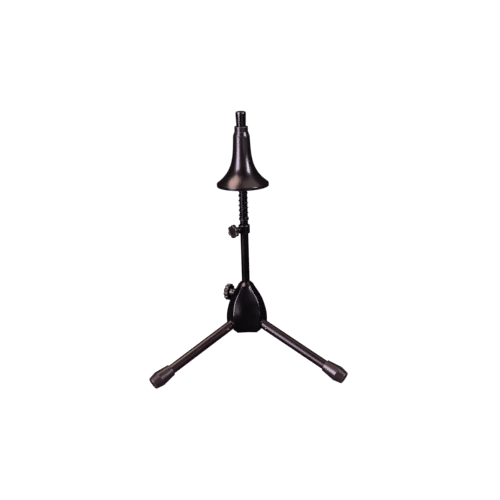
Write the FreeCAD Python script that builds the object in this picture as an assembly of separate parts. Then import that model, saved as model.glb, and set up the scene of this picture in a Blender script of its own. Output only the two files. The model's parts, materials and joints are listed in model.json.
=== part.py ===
import FreeCAD, Part
import math
import os
from FreeCAD import Vector

# Folding stand for a trumpet: a three-legged hub, a telescopic post and a sprung bell cone.
# Millimetres. Z is up, the post's axis is the Z axis, and the feet stand on the plane Z = 0.
# The rear leg runs along +Y, the two front legs run 120 degrees to either side of it.

# ---- driving dimensions -------------------------------------------------------------------

# Running clearances, all radial.
SLIDING_FIT = 0.06
LOOSE_GAP = 0.30
FACE_GAP = 0.10

# Legs.
LEG_SLOPE = 25.6
LEG_DIAMETER = 19.0
LEG_WALL = 1.2
LEG_REACH = 202.0
PIVOT_RADIUS = 29.0
PIVOT_PIN_DIAMETER = 5.0
LEG_SIDE_GAP = 0.4
LEG_TUBE_START = 11.0
LEG_END_SPIGOT = 20.0
RIVET_DIAMETER = 4.0
RIVET_HEAD_DIAMETER = 6.4
RIVET_HEAD_HEIGHT = 0.9
LEG_AZIMUTHS = {"left": -150.0, "right": -30.0, "rear": 90.0}

# Rubber feet.
FOOT_MOUTH_DIAMETER = 23.5
FOOT_WAIST_DIAMETER = 30.5
FOOT_TIP_DIAMETER = 24.0
FOOT_MOUTH_LENGTH = 28.6
FOOT_TIP_LENGTH = 16.7
FOOT_END_WALL = 6.0
FOOT_MOUTH_RADIUS = 0.8
FOOT_WAIST_RADIUS = 0.9
FOOT_TIP_RADIUS = 1.7
FOOT_FLAT_DEPTH = 1.2

# Hub.
HUB_BOTTOM = 80.0
HUB_TOP = 169.5
HUB_CORNER_REACH = 38.2
HUB_CORNER_WIDTH = 31.8
HUB_PANEL_HOLLOW = 3.6
HUB_RIDGE_RADIUS = 3.6
HUB_RIDGE_RADIUS_INSIDE = 0.9
HUB_WALL = 3.2
HUB_CAVITY_TOP = 131.0
HUB_SKIRT_RISE = 5.5
HUB_SLEEVE_DIAMETER = 26.0
HUB_SLEEVE_BOTTOM = 114.0
CHEEK_THICKNESS = 3.5
CHEEK_START_RADIUS = 14.0
CHEEK_ROOF = 4.0

# Post tube and the bushes it slides in.
POST_DIAMETER = 16.0
POST_WALL = 1.2
POST_BOTTOM = 88.0
POST_TOP = 299.0
BUSH_WALL = 2.0
LOWER_BUSH_HEIGHT = 12.0
LOWER_BUSH_FLANGE = 2.0
NECK_RING_HEIGHT = 6.0
NECK_RING_LIP = 1.0
NECK_RING_LOW_RADIUS = 15.5
NECK_RING_HIGH_RADIUS = 10.8
NECK_SPIGOT_DIAMETER = 22.0
NECK_SPIGOT_LENGTH = 10.5
PLUG_FLANGE_DIAMETER = 22.0
PLUG_FLANGE_HEIGHT = 4.0
PLUG_SPIGOT_LENGTH = 14.0

# Clamp screw of the hub: knob, stud, brass insert and pad, along a radius of the post.
HUB_CLAMP_HEIGHT = 149.5
HUB_CLAMP_AZIMUTH = 150.0
HUB_STUD_DIAMETER = 8.0
HUB_INSERT_DIAMETER = 12.0
HUB_BOSS_DIAMETER = 16.5
HUB_BOSS_END = 27.0
HUB_PAD_DIAMETER = 9.0
HUB_KNOB_DIAMETER = 33.0
HUB_KNOB_THICKNESS = 8.5
HUB_KNOB_BOSS_DIAMETER = 16.0
HUB_KNOB_BOSS_LENGTH = 6.0
HUB_KNOB_LOBES = 12
HUB_KNOB_SCALLOP = 1.7

# Clamp screw of the post's collar.
COLLAR_LOW = 274.0
COLLAR_HEIGHT = 16.5
COLLAR_DIAMETER = 22.4
COLLAR_CHAMFER = 1.5
COLLAR_CLAMP_AZIMUTH = 222.0
COLLAR_STUD_DIAMETER = 6.0
COLLAR_INSERT_DIAMETER = 9.0
COLLAR_BOSS_DIAMETER = 13.0
COLLAR_BOSS_END = 18.0
COLLAR_PAD_DIAMETER = 7.6
COLLAR_KNOB_DIAMETER = 26.0
COLLAR_KNOB_THICKNESS = 8.0
COLLAR_KNOB_BOSS_DIAMETER = 10.0
COLLAR_KNOB_BOSS_LENGTH = 4.0
COLLAR_KNOB_LOBES = 6
COLLAR_KNOB_SCALLOP = 2.2
KNOB_GAP = 1.6
KNOB_EDGE = 1.0
KNOB_RIM_WALL = 3.2
KNOB_RECESS_DEPTH = 3.0
KNOB_SCALLOP_SHARE = 0.62
PAD_THICKNESS = 2.9
PAD_TRAVEL = 2.6
STUD_DEPTH_IN_KNOB = 6.0

# Inner rod, upper tube and cap.
ROD_GAP = 0.3
ROD_WALL = 1.5
ROD_LENGTH = 210.0
ROD_OVERLAP = 50.0
ROD_BUSH_FLANGE_HEIGHT = 3.0
ROD_BUSH_SPIGOT_LENGTH = 12.0
UPPER_TUBE_WALL = 1.4
JOINT_PIN_DIAMETER = 3.0
CAP_TOP = 510.5
CAP_TOP_WALL = 2.2
CAP_MOUTH_WALL = 1.2
CAP_END_WALL = 4.0
CAP_EDGE_RADIUS = 3.4
CAP_CROWN = 1.0

# Bell cone.
CONE_RIM_DIAMETER = 100.0
CONE_RIM_LOW = 367.0
CONE_RIM_HEIGHT = 6.0
CONE_NECK_DIAMETER = 32.0
CONE_NECK_TOP = 464.0
CONE_WALL = 2.6
CONE_NECK_FLOOR = 430.0
CONE_STRAIGHT_SHARE = 0.12
CONE_FLARE_POWER = 4
CONE_RING_DIAMETER = 26.0
CONE_RING_BEVEL = 8.0
CONE_RING_HEIGHT = 9.6
CONE_BUSH_FLANGE_DIAMETER = 24.0
CONE_BUSH_FLANGE_HEIGHT = 1.5
RETAINING_RING_HEIGHT = 1.2
RETAINING_RING_WIDTH = 1.3

# Spring under the cone.
SPRING_WIRE = 1.5
SPRING_PITCH = 9.6
SPRING_GAP = 0.25
WASHER_HEIGHT = 1.4
WASHER_WIDTH = 2.7
SEAT_HEIGHT = 2.0
SEAT_RISE = 1.3
SEAT_WIDTH = 1.7
SEAT_PIN_DIAMETER = 1.2

# ---- sizes that follow from them ----------------------------------------------------------

slope = math.radians(LEG_SLOPE)
leg_radius = LEG_DIAMETER / 2
foot_tip_radius = FOOT_TIP_DIAMETER / 2
foot_length = FOOT_MOUTH_LENGTH + FOOT_TIP_LENGTH
pivot_height = LEG_REACH * math.sin(slope) + foot_tip_radius * math.cos(slope) - FOOT_FLAT_DEPTH
slot_half_width = leg_radius + LEG_SIDE_GAP
cheek_half_width = slot_half_width + CHEEK_THICKNESS
post_radius = POST_DIAMETER / 2
post_bore = post_radius - POST_WALL
post_guide_radius = post_radius + SLIDING_FIT
rod_radius = post_bore - ROD_GAP
rod_top = POST_TOP + ROD_OVERLAP
rod_bottom = rod_top - ROD_LENGTH
cone_ring_top = CONE_NECK_TOP + CONE_RING_BEVEL + CONE_RING_HEIGHT
cone_bush_radius = post_guide_radius + BUSH_WALL
neck_ring_top = HUB_TOP + NECK_RING_HEIGHT
upper_tube_bottom = POST_TOP + LOOSE_GAP
upper_tube_top = CAP_TOP - CAP_END_WALL
retaining_ring_low = cone_ring_top - RETAINING_RING_HEIGHT
collar_clamp_height = COLLAR_LOW + COLLAR_HEIGHT / 2
seat_low = upper_tube_bottom + SEAT_RISE
washer_top = CONE_NECK_FLOOR - CONE_BUSH_FLANGE_HEIGHT - FACE_GAP
FAR = 200.0
ORIGIN = Vector(0, 0, 0)
UP = Vector(0, 0, 1)


# ---- helpers ------------------------------------------------------------------------------

def disc(radius, low, high):
    """Upright cylinder about the Z axis."""
    return Part.makeCylinder(radius, high - low, Vector(0, 0, low))


def ring(outer, inner, low, high):
    """Upright tube about the Z axis."""
    return disc(outer, low, high).cut(disc(inner, low, high))


def shaft(radius, start, end, height=0.0):
    """Cylinder along X at the given height."""
    return Part.makeCylinder(radius, end - start, Vector(start, 0, height), Vector(1, 0, 0))


def spun(points, axis=UP):
    """Solid of revolution about the Z or X axis, from a closed outline of (radius or x, height) points."""
    outline = [Vector(a, 0, b) for a, b in points]
    face = Part.Face(Part.makePolygon(outline + outline[:1]))
    return face.revolve(ORIGIN, axis, 360)


def turned(shape, azimuth):
    """Turns a shape, made in the XZ plane, about the post's axis."""
    return shape.rotated(ORIGIN, UP, azimuth)


def save(name, shape):
    """Writes one piece, or one group of equal pieces, as its own file."""
    solids = shape.Solids
    result = solids[0] if len(solids) == 1 else Part.makeCompound(solids)
    result.exportStep(os.path.join("parts", name + ".step"))
    print(name, len(solids), round(result.Volume), result.isValid())


def save_one(name, shape):
    """Writes a piece that has to be a single solid."""
    assert len(shape.Solids) == 1, name
    save(name, shape)


# ---- hub ----------------------------------------------------------------------------------

# Stations of the hub from its skirt to its neck, as shares of its height, corner reach and corner width.
HUB_STATIONS = (
    (0.00, 0.96, 1.00),
    (0.16, 0.99, 0.99),
    (0.36, 1.00, 0.92),
    (0.56, 0.92, 0.78),
    (0.72, 0.79, 0.68),
    (0.86, 0.59, 0.63),
    (1.00, 0.38, 0.49),
)


def ridge(point, toward_face, toward_panel, radius):
    """Rounds one ridge: where it leaves the corner face, its crest, and where it meets the panel."""
    half = toward_face.getAngle(toward_panel) / 2
    trim = radius / math.tan(half)
    inward = (toward_face + toward_panel).normalize()
    crest = point + inward * (radius / math.sin(half) - radius)
    return point + toward_face * trim, crest, point + toward_panel * trim


def hub_outline(height, reach, width, wall=0.0):
    """One level of the hub: corner faces, hollow panels and rounded ridges, set in by a wall."""
    corners = len(LEG_AZIMUTHS)
    step = math.pi / corners
    size = width / HUB_CORNER_WIDTH
    hollow = HUB_PANEL_HOLLOW * size
    radius = HUB_RIDGE_RADIUS_INSIDE if wall else HUB_RIDGE_RADIUS * size
    half_panel = reach * math.sin(step) - width / 2 * math.cos(step)
    panel_distance = reach * math.cos(step) + width / 2 * math.sin(step) - wall - hollow
    turn = step + 2 * math.atan(hollow / half_panel)
    half_width = width / 2 - wall * math.tan(turn / 2)
    ridges = []
    for corner in range(corners):
        azimuth = math.radians(LEG_AZIMUTHS["rear"]) + 2 * step * corner
        outward = Vector(math.cos(azimuth), math.sin(azimuth), 0)
        for side in (-1, 1):
            across = Vector(-outward.y, outward.x, 0) * side
            point = outward * (reach - wall) + across * half_width + UP * height
            toward_panel = across * math.cos(turn) - outward * math.sin(turn)
            ridges.append(ridge(point, -across, toward_panel, radius))
    edges = []
    for corner in range(corners):
        right = ridges[2 * corner]
        left = ridges[2 * corner + 1]
        following = ridges[(2 * corner + 2) % len(ridges)]
        azimuth = math.radians(LEG_AZIMUTHS["rear"]) + step * (2 * corner + 1)
        middle = Vector(math.cos(azimuth), math.sin(azimuth), 0) * panel_distance + UP * height
        edges.append(Part.Arc(right[2], right[1], right[0]).toShape())
        edges.append(Part.makeLine(right[0], left[0]))
        edges.append(Part.Arc(left[0], left[1], left[2]).toShape())
        edges.append(Part.Arc(left[2], middle, following[2]).toShape())
    return Part.Wire(edges)


def hub_loft(stations, wall):
    """Smooth body through the hub's levels, set in by a wall."""
    outlines = []
    for share, reach_share, width_share in stations:
        height = HUB_BOTTOM + share * (HUB_TOP - HUB_BOTTOM)
        reach = reach_share * HUB_CORNER_REACH
        outlines.append(hub_outline(height, reach, width_share * HUB_CORNER_WIDTH, wall))
    return Part.makeLoft(outlines, True, False)


def leg_channel():
    """Room for one leg as it folds from its slope to straight down, drawn over the X axis."""
    slot = leg_frame(shaft(slot_half_width, 0, FAR))
    slot = slot.fuse(Part.makeSphere(slot_half_width, Vector(PIVOT_RADIUS, 0, pivot_height)))
    outer_height = pivot_height - (FAR - PIVOT_RADIUS) * math.tan(slope)
    side = [
        Vector(PIVOT_RADIUS - slot_half_width, -slot_half_width, pivot_height),
        Vector(PIVOT_RADIUS, -slot_half_width, pivot_height),
        Vector(FAR, -slot_half_width, outer_height),
        Vector(FAR, -slot_half_width, -FAR),
        Vector(PIVOT_RADIUS - slot_half_width, -slot_half_width, -FAR),
    ]
    sweep = Part.Face(Part.makePolygon(side + side[:1])).extrude(Vector(0, 2 * slot_half_width, 0))
    return slot.fuse(sweep)


def skirt_cut():
    """Lifts the skirt's edge at one corner, on a 45 degree bevel."""
    bevel_start = HUB_CORNER_REACH * HUB_STATIONS[0][1] - HUB_SKIRT_RISE
    side = [
        Vector(bevel_start, -FAR / 2, HUB_BOTTOM),
        Vector(bevel_start + HUB_SKIRT_RISE, -FAR / 2, HUB_BOTTOM + HUB_SKIRT_RISE),
        Vector(FAR, -FAR / 2, HUB_BOTTOM + HUB_SKIRT_RISE),
        Vector(FAR, -FAR / 2, HUB_BOTTOM - HUB_SKIRT_RISE),
        Vector(bevel_start, -FAR / 2, HUB_BOTTOM - HUB_SKIRT_RISE),
    ]
    return Part.Face(Part.makePolygon(side + side[:1])).extrude(Vector(0, FAR, 0))


def cheek_block():
    """Block that holds one leg's pivot pin, before the channel is cut through it."""
    low = HUB_BOTTOM + HUB_SKIRT_RISE
    high = pivot_height + slot_half_width + CHEEK_ROOF
    size = (HUB_CORNER_REACH - CHEEK_START_RADIUS, 2 * cheek_half_width, high - low)
    return Part.makeBox(*size, Vector(CHEEK_START_RADIUS, -cheek_half_width, low))


def hub_shell():
    """Moulded hub: hollow skirt, solid shoulder, guide sleeve, pivot cheeks and clamp boss."""
    outside = hub_loft(HUB_STATIONS, 0.0)
    cavity_share = (HUB_CAVITY_TOP - HUB_BOTTOM) / (HUB_TOP - HUB_BOTTOM)
    inner_stations = [station for station in HUB_STATIONS if station[0] <= cavity_share]
    first = inner_stations[0]
    inner_stations.insert(0, (first[0] - 2 * HUB_WALL / (HUB_TOP - HUB_BOTTOM), first[1], first[2]))
    hollow = hub_loft(inner_stations, HUB_WALL)
    inside = disc(HUB_SLEEVE_DIAMETER / 2, HUB_SLEEVE_BOTTOM, HUB_TOP)
    for azimuth in LEG_AZIMUTHS.values():
        inside = inside.fuse(turned(cheek_block(), azimuth))
    shell = outside.cut(hollow).fuse(inside.common(outside))
    boss = shaft(HUB_BOSS_DIAMETER / 2, post_radius, HUB_BOSS_END, HUB_CLAMP_HEIGHT)
    shell = shell.fuse(turned(boss, HUB_CLAMP_AZIMUTH))
    pin_length = 2 * cheek_half_width
    for azimuth in LEG_AZIMUTHS.values():
        shell = shell.cut(turned(leg_channel(), azimuth))
        shell = shell.cut(turned(skirt_cut(), azimuth))
        shell = shell.cut(turned(pivot_pin(pin_length), azimuth))
    shell = shell.cut(disc(post_guide_radius + LOOSE_GAP, 0, FAR))
    shell = shell.cut(disc(post_guide_radius + BUSH_WALL, 0, HUB_SLEEVE_BOTTOM + LOWER_BUSH_HEIGHT))
    shell = shell.cut(disc(NECK_SPIGOT_DIAMETER / 2, HUB_TOP - NECK_SPIGOT_LENGTH, FAR))
    insert_start = post_radius + PAD_THICKNESS + PAD_TRAVEL
    pad_bore = shaft(HUB_PAD_DIAMETER / 2 + FACE_GAP, 0, insert_start, HUB_CLAMP_HEIGHT)
    insert_bore = shaft(HUB_INSERT_DIAMETER / 2, insert_start, FAR, HUB_CLAMP_HEIGHT)
    shell = shell.cut(turned(pad_bore.fuse(insert_bore), HUB_CLAMP_AZIMUTH))
    return shell


def pivot_pin(length):
    """Steel pin across one leg slot, drawn over the X axis."""
    start = Vector(PIVOT_RADIUS, -length / 2, pivot_height)
    return Part.makeCylinder(PIVOT_PIN_DIAMETER / 2, length, start, Vector(0, 1, 0))


def neck_ring():
    """Bush pressed into the top of the hub, whose bevelled flange is the hub's neck."""
    outline = [
        (post_guide_radius, HUB_TOP - NECK_SPIGOT_LENGTH),
        (NECK_SPIGOT_DIAMETER / 2, HUB_TOP - NECK_SPIGOT_LENGTH),
        (NECK_SPIGOT_DIAMETER / 2, HUB_TOP),
        (NECK_RING_LOW_RADIUS, HUB_TOP),
        (NECK_RING_LOW_RADIUS, HUB_TOP + NECK_RING_LIP),
        (NECK_RING_HIGH_RADIUS, neck_ring_top),
        (post_guide_radius, neck_ring_top),
    ]
    return spun(outline)


def lower_bush():
    """Flanged bush pressed into the bottom of the hub's sleeve."""
    outer = post_guide_radius + BUSH_WALL
    flange_low = HUB_SLEEVE_BOTTOM - LOWER_BUSH_FLANGE
    bush = ring(outer, post_guide_radius, HUB_SLEEVE_BOTTOM, HUB_SLEEVE_BOTTOM + LOWER_BUSH_HEIGHT)
    return bush.fuse(ring(outer + BUSH_WALL, post_guide_radius, flange_low, HUB_SLEEVE_BOTTOM))


# ---- legs ---------------------------------------------------------------------------------

def leg_frame(shape):
    """Places a shape drawn along X from the pivot: sloped down, moved to the pivot, over the X axis."""
    return shape.rotated(ORIGIN, Vector(0, 1, 0), LEG_SLOPE).translated(Vector(PIVOT_RADIUS, 0, pivot_height))


def rivet_hole():
    """Cross hole through a leg for its rivet."""
    start = Vector(LEG_TUBE_START + LEG_END_SPIGOT / 2, -LEG_DIAMETER, 0)
    return Part.makeCylinder(RIVET_DIAMETER / 2, 2 * LEG_DIAMETER, start, Vector(0, 1, 0))


def leg_tube():
    """Steel tube of one leg, open at the hub and closed by the foot."""
    end = LEG_REACH - FOOT_END_WALL
    tube = shaft(leg_radius, LEG_TUBE_START, end).cut(shaft(leg_radius - LEG_WALL, LEG_TUBE_START, end))
    return tube.cut(rivet_hole())


def leg_end():
    """Rounded leg end with the pivot hole, and the spigot that goes up the tube."""
    shape = Part.makeSphere(leg_radius).fuse(shaft(leg_radius, 0, LEG_TUBE_START))
    spigot_end = LEG_TUBE_START + LEG_END_SPIGOT
    shape = shape.fuse(shaft(leg_radius - LEG_WALL, 0, spigot_end))
    pin_start = Vector(0, -LEG_DIAMETER, 0)
    pin_hole_radius = PIVOT_PIN_DIAMETER / 2 + SLIDING_FIT
    pin_hole = Part.makeCylinder(pin_hole_radius, 2 * LEG_DIAMETER, pin_start, Vector(0, 1, 0))
    return shape.cut(pin_hole).cut(rivet_hole())


def leg_rivet():
    """Rivet through the tube and the leg end: its shank fills the hole, its domed heads sit on the tube."""
    crown = leg_radius + RIVET_HEAD_HEIGHT
    edge = leg_radius + RIVET_HEAD_HEIGHT / 3
    outline = [
        (0, -crown),
        (RIVET_DIAMETER / 2, -crown),
        (RIVET_HEAD_DIAMETER / 2, -edge),
        (RIVET_HEAD_DIAMETER / 2, edge),
        (RIVET_DIAMETER / 2, crown),
        (0, crown),
    ]
    lying = spun(outline).rotated(ORIGIN, Vector(1, 0, 0), 90)
    placed = lying.translated(Vector(LEG_TUBE_START + LEG_END_SPIGOT / 2, 0, 0))
    return placed.cut(shaft(leg_radius, 0, FAR).cut(rivet_hole()))


def round_rim(shape, place, radius):
    """Rounds the circular edge that lies at one place along the X axis."""
    rims = []
    for edge in shape.Edges:
        box = edge.BoundBox
        if box.XLength < radius and abs(box.Center.x - place) < radius:
            rims.append(edge)
    return shape.makeFillet(radius, rims)


def leg_foot():
    """Rubber foot: two tapers that meet at a waist, with rounded edges, pulled over the tube."""
    mouth = LEG_REACH - foot_length
    waist = LEG_REACH - FOOT_TIP_LENGTH
    outline = [
        (mouth, 0),
        (mouth, FOOT_MOUTH_DIAMETER / 2),
        (waist, FOOT_WAIST_DIAMETER / 2),
        (LEG_REACH, foot_tip_radius),
        (LEG_REACH, 0),
    ]
    foot = spun(outline, Vector(1, 0, 0))
    foot = round_rim(foot, mouth, FOOT_MOUTH_RADIUS)
    foot = round_rim(foot, waist, FOOT_WAIST_RADIUS)
    foot = round_rim(foot, LEG_REACH, FOOT_TIP_RADIUS)
    return foot.cut(shaft(leg_radius, 0, LEG_REACH - FOOT_END_WALL))


def save_leg(side, azimuth):
    """Writes the four pieces of one leg."""
    ground = Part.makeBox(4 * FAR, 4 * FAR, FAR, Vector(-2 * FAR, -2 * FAR, -FAR))
    pieces = {"tube": leg_tube(), "end": leg_end(), "rivet": leg_rivet(), "foot": leg_foot()}
    for piece, shape in pieces.items():
        placed = turned(leg_frame(shape), azimuth)
        if piece == "foot":
            placed = placed.cut(ground)
        save_one(side + "_leg_" + piece, placed)


# ---- clamp screws -------------------------------------------------------------------------

def clamp_insert(bore, outer, start, end, height, azimuth):
    """Brass bush whose thread carries the stud."""
    bush = shaft(outer, start, end, height).cut(shaft(bore, start, end, height))
    return turned(bush, azimuth)


def clamp_pad(diameter, start, height, azimuth):
    """Plastic pad between the stud and the part it grips."""
    return turned(shaft(diameter / 2, start, start + PAD_THICKNESS, height), azimuth)


def knob(diameter, thickness, boss_diameter, boss_length, lobes, scallop, start, height):
    """Hand knob over the X axis: boss behind, hollows round its rim and a ring-shaped recess in its back."""
    rim = start + boss_length
    face = rim + thickness
    outline = [
        (start, 0),
        (start, boss_diameter / 2),
        (rim, boss_diameter / 2 + KNOB_EDGE),
        (rim, diameter / 2 - KNOB_EDGE),
        (rim + KNOB_EDGE, diameter / 2),
        (face - KNOB_EDGE, diameter / 2),
        (face, diameter / 2 - KNOB_EDGE),
        (face, 0),
    ]
    shape = spun(outline, Vector(1, 0, 0))
    recess_outer = diameter / 2 - scallop - KNOB_RIM_WALL
    recess_inner = boss_diameter / 2 + KNOB_EDGE
    recess = shaft(recess_outer, rim, rim + KNOB_RECESS_DEPTH)
    shape = shape.cut(recess.cut(shaft(recess_inner, rim, rim + KNOB_RECESS_DEPTH)))
    pitch = math.pi * diameter / lobes
    cutter_radius = pitch / 2 * KNOB_SCALLOP_SHARE
    centre_radius = diameter / 2 + cutter_radius - scallop
    for lobe in range(lobes):
        angle = 2 * math.pi * (lobe + 0.5) / lobes
        centre = Vector(rim - boss_length, centre_radius * math.cos(angle), centre_radius * math.sin(angle))
        shape = shape.cut(Part.makeCylinder(cutter_radius, FAR, centre, Vector(1, 0, 0)))
    return shape.translated(UP * height)


def save_clamp(name, azimuth, height, gripped_radius, sizes):
    """Writes the insert, pad, stud and knob of one clamp screw."""
    stud = sizes["stud"] / 2
    pad_start = gripped_radius + FACE_GAP / 2
    stud_start = pad_start + PAD_THICKNESS + FACE_GAP / 2
    insert_start = sizes["insert_start"]
    knob_start = sizes["insert_end"] + KNOB_GAP
    stud_end = knob_start + sizes["knob"]["boss_length"] + STUD_DEPTH_IN_KNOB
    stud_shape = shaft(stud - SLIDING_FIT, stud_start, stud_end, height)
    knob_shape = knob(start=knob_start, height=height, **sizes["knob"])
    knob_shape = knob_shape.cut(shaft(stud - SLIDING_FIT, 0, stud_end, height))
    insert = clamp_insert(stud, sizes["insert"] / 2, insert_start, sizes["insert_end"], height, azimuth)
    save_one(name + "_clamp_insert", insert)
    save_one(name + "_clamp_pad", clamp_pad(sizes["pad"], pad_start, height, azimuth))
    save_one(name + "_clamp_stud", turned(stud_shape, azimuth))
    save_one(name + "_clamp_knob", turned(knob_shape, azimuth))


# ---- post ---------------------------------------------------------------------------------

def post_tube():
    """Lower tube of the post, with a window for the collar's clamp pad."""
    tube = ring(post_radius, post_bore, POST_BOTTOM, POST_TOP)
    window = shaft(COLLAR_PAD_DIAMETER / 2 + FACE_GAP, 0, FAR, collar_clamp_height)
    return tube.cut(turned(window, COLLAR_CLAMP_AZIMUTH))


def post_plug():
    """Plug in the foot of the post, whose flange meets the lower bush when the post is pulled up."""
    plug = disc(PLUG_FLANGE_DIAMETER / 2, POST_BOTTOM - FACE_GAP - PLUG_FLANGE_HEIGHT, POST_BOTTOM - FACE_GAP)
    return plug.fuse(disc(post_bore - SLIDING_FIT, POST_BOTTOM - FACE_GAP, POST_BOTTOM + PLUG_SPIGOT_LENGTH))


def post_collar():
    """Collar pressed on the post, with the boss for its clamp screw."""
    high = COLLAR_LOW + COLLAR_HEIGHT
    outer = COLLAR_DIAMETER / 2
    outline = [
        (post_radius, COLLAR_LOW),
        (outer - COLLAR_CHAMFER, COLLAR_LOW),
        (outer, COLLAR_LOW + COLLAR_CHAMFER),
        (outer, high - COLLAR_CHAMFER),
        (outer - COLLAR_CHAMFER, high),
        (post_radius, high),
    ]
    boss = shaft(COLLAR_BOSS_DIAMETER / 2, 0, COLLAR_BOSS_END, collar_clamp_height)
    boss = turned(boss, COLLAR_CLAMP_AZIMUTH).cut(disc(post_radius, COLLAR_LOW, high))
    opposite = turned(Part.makeBox(FAR, FAR, FAR, Vector(-FAR, -FAR / 2, COLLAR_LOW)), COLLAR_CLAMP_AZIMUTH)
    collar = spun(outline).fuse(boss.cut(opposite))
    insert_start = rod_radius + PAD_THICKNESS + PAD_TRAVEL
    pad_bore = shaft(COLLAR_PAD_DIAMETER / 2 + FACE_GAP, 0, insert_start, collar_clamp_height)
    insert_bore = shaft(COLLAR_INSERT_DIAMETER / 2, insert_start, FAR, collar_clamp_height)
    return collar.cut(turned(pad_bore.fuse(insert_bore), COLLAR_CLAMP_AZIMUTH))


# ---- inner rod, upper tube and cap --------------------------------------------------------

def joint_pin():
    """Pin through the upper tube and the rod, flush with the tube."""
    height = POST_TOP + ROD_OVERLAP / 2
    start = Vector(0, -post_radius, height)
    pin = Part.makeCylinder(JOINT_PIN_DIAMETER / 2, 2 * post_radius, start, Vector(0, 1, 0))
    return pin.common(disc(post_radius, POST_TOP, rod_top))


def seat_pin():
    """Pin through the spring's seat and the upper tube."""
    outer = post_radius + SEAT_WIDTH
    start = Vector(0, -outer, seat_low + SEAT_HEIGHT / 2)
    pin = Part.makeCylinder(SEAT_PIN_DIAMETER / 2, 2 * outer, start, Vector(0, 1, 0))
    return pin.common(disc(outer, seat_low, seat_low + SEAT_HEIGHT))


def inner_rod():
    """Rod that slides in the post and carries the upper tube."""
    rod = ring(rod_radius, rod_radius - ROD_WALL, rod_bottom, rod_top)
    return rod.cut(joint_pin()).cut(seat_pin())


def rod_bush():
    """Guide bush at the rod's lower end: its flange fits the post's bore, its spigot the rod."""
    flange_low = rod_bottom - FACE_GAP - ROD_BUSH_FLANGE_HEIGHT
    flange = disc(post_bore - SLIDING_FIT, flange_low, rod_bottom - FACE_GAP)
    spigot_radius = rod_radius - ROD_WALL - SLIDING_FIT
    return flange.fuse(disc(spigot_radius, rod_bottom - FACE_GAP, rod_bottom + ROD_BUSH_SPIGOT_LENGTH))


def upper_tube():
    """Tube round the rod's top: it rests on the post, carries the spring and runs up into the cap."""
    tube = ring(post_radius, post_radius - UPPER_TUBE_WALL, upper_tube_bottom, upper_tube_top)
    tube = tube.cut(joint_pin()).cut(seat_pin())
    groove_radius = post_radius - RETAINING_RING_WIDTH / 2
    groove = ring(FAR, groove_radius, retaining_ring_low, cone_ring_top)
    return tube.cut(groove)


def spring_seat():
    """Ring pinned to the upper tube under the spring."""
    seat = ring(post_radius + SEAT_WIDTH, post_radius, seat_low, seat_low + SEAT_HEIGHT)
    return seat.cut(seat_pin())


def retaining_ring():
    """Split ring in a groove above the cone, which keeps the spring from pushing the cone off."""
    inner = post_radius - RETAINING_RING_WIDTH / 2
    full = ring(inner + RETAINING_RING_WIDTH, inner, retaining_ring_low, cone_ring_top)
    corner = Vector(0, -RETAINING_RING_WIDTH, retaining_ring_low)
    split = Part.makeBox(FAR, 2 * RETAINING_RING_WIDTH, FAR, corner)
    return full.cut(split)


def peg_cap():
    """Cap on the top of the upper tube, a little narrower at its mouth, with a crowned top."""
    mouth = cone_ring_top + LOOSE_GAP
    outer = post_radius + CAP_TOP_WALL
    inner = post_radius + CAP_MOUTH_WALL
    shoulder = CAP_TOP - CAP_CROWN - CAP_EDGE_RADIUS
    bend = CAP_EDGE_RADIUS * math.sqrt(0.5)
    edge_middle = Vector(outer - CAP_EDGE_RADIUS + bend, 0, shoulder + bend)
    edge_end = Vector(outer - CAP_EDGE_RADIUS, 0, shoulder + CAP_EDGE_RADIUS)
    crown_radius = (edge_end.x ** 2 + CAP_CROWN ** 2) / (2 * CAP_CROWN)
    middle_drop = crown_radius - math.sqrt(crown_radius ** 2 - (edge_end.x / 2) ** 2)
    crown_middle = Vector(edge_end.x / 2, 0, CAP_TOP - middle_drop)
    outline = Part.Wire([
        Part.makeLine(Vector(0, 0, mouth), Vector(inner, 0, mouth)),
        Part.makeLine(Vector(inner, 0, mouth), Vector(outer, 0, shoulder)),
        Part.Arc(Vector(outer, 0, shoulder), edge_middle, edge_end).toShape(),
        Part.Arc(edge_end, crown_middle, Vector(0, 0, CAP_TOP)).toShape(),
        Part.makeLine(Vector(0, 0, CAP_TOP), Vector(0, 0, mouth)),
    ])
    cap = Part.Face(outline).revolve(ORIGIN, UP, 360)
    return cap.cut(disc(post_radius, mouth, upper_tube_top))


# ---- bell cone ----------------------------------------------------------------------------

def cone_outline():
    """Points down the cone's outside, from its neck to its rim: a straight taper plus a flare."""
    points = []
    levels = 12
    rim_high = CONE_RIM_LOW + CONE_RIM_HEIGHT
    for level in range(levels + 1):
        share = level / levels
        growth = CONE_STRAIGHT_SHARE * share + (1 - CONE_STRAIGHT_SHARE) * share ** CONE_FLARE_POWER
        radius = CONE_NECK_DIAMETER / 2 + growth * (CONE_RIM_DIAMETER - CONE_NECK_DIAMETER) / 2
        points.append(Vector(radius, 0, CONE_NECK_TOP - share * (CONE_NECK_TOP - rim_high)))
    return points


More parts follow.
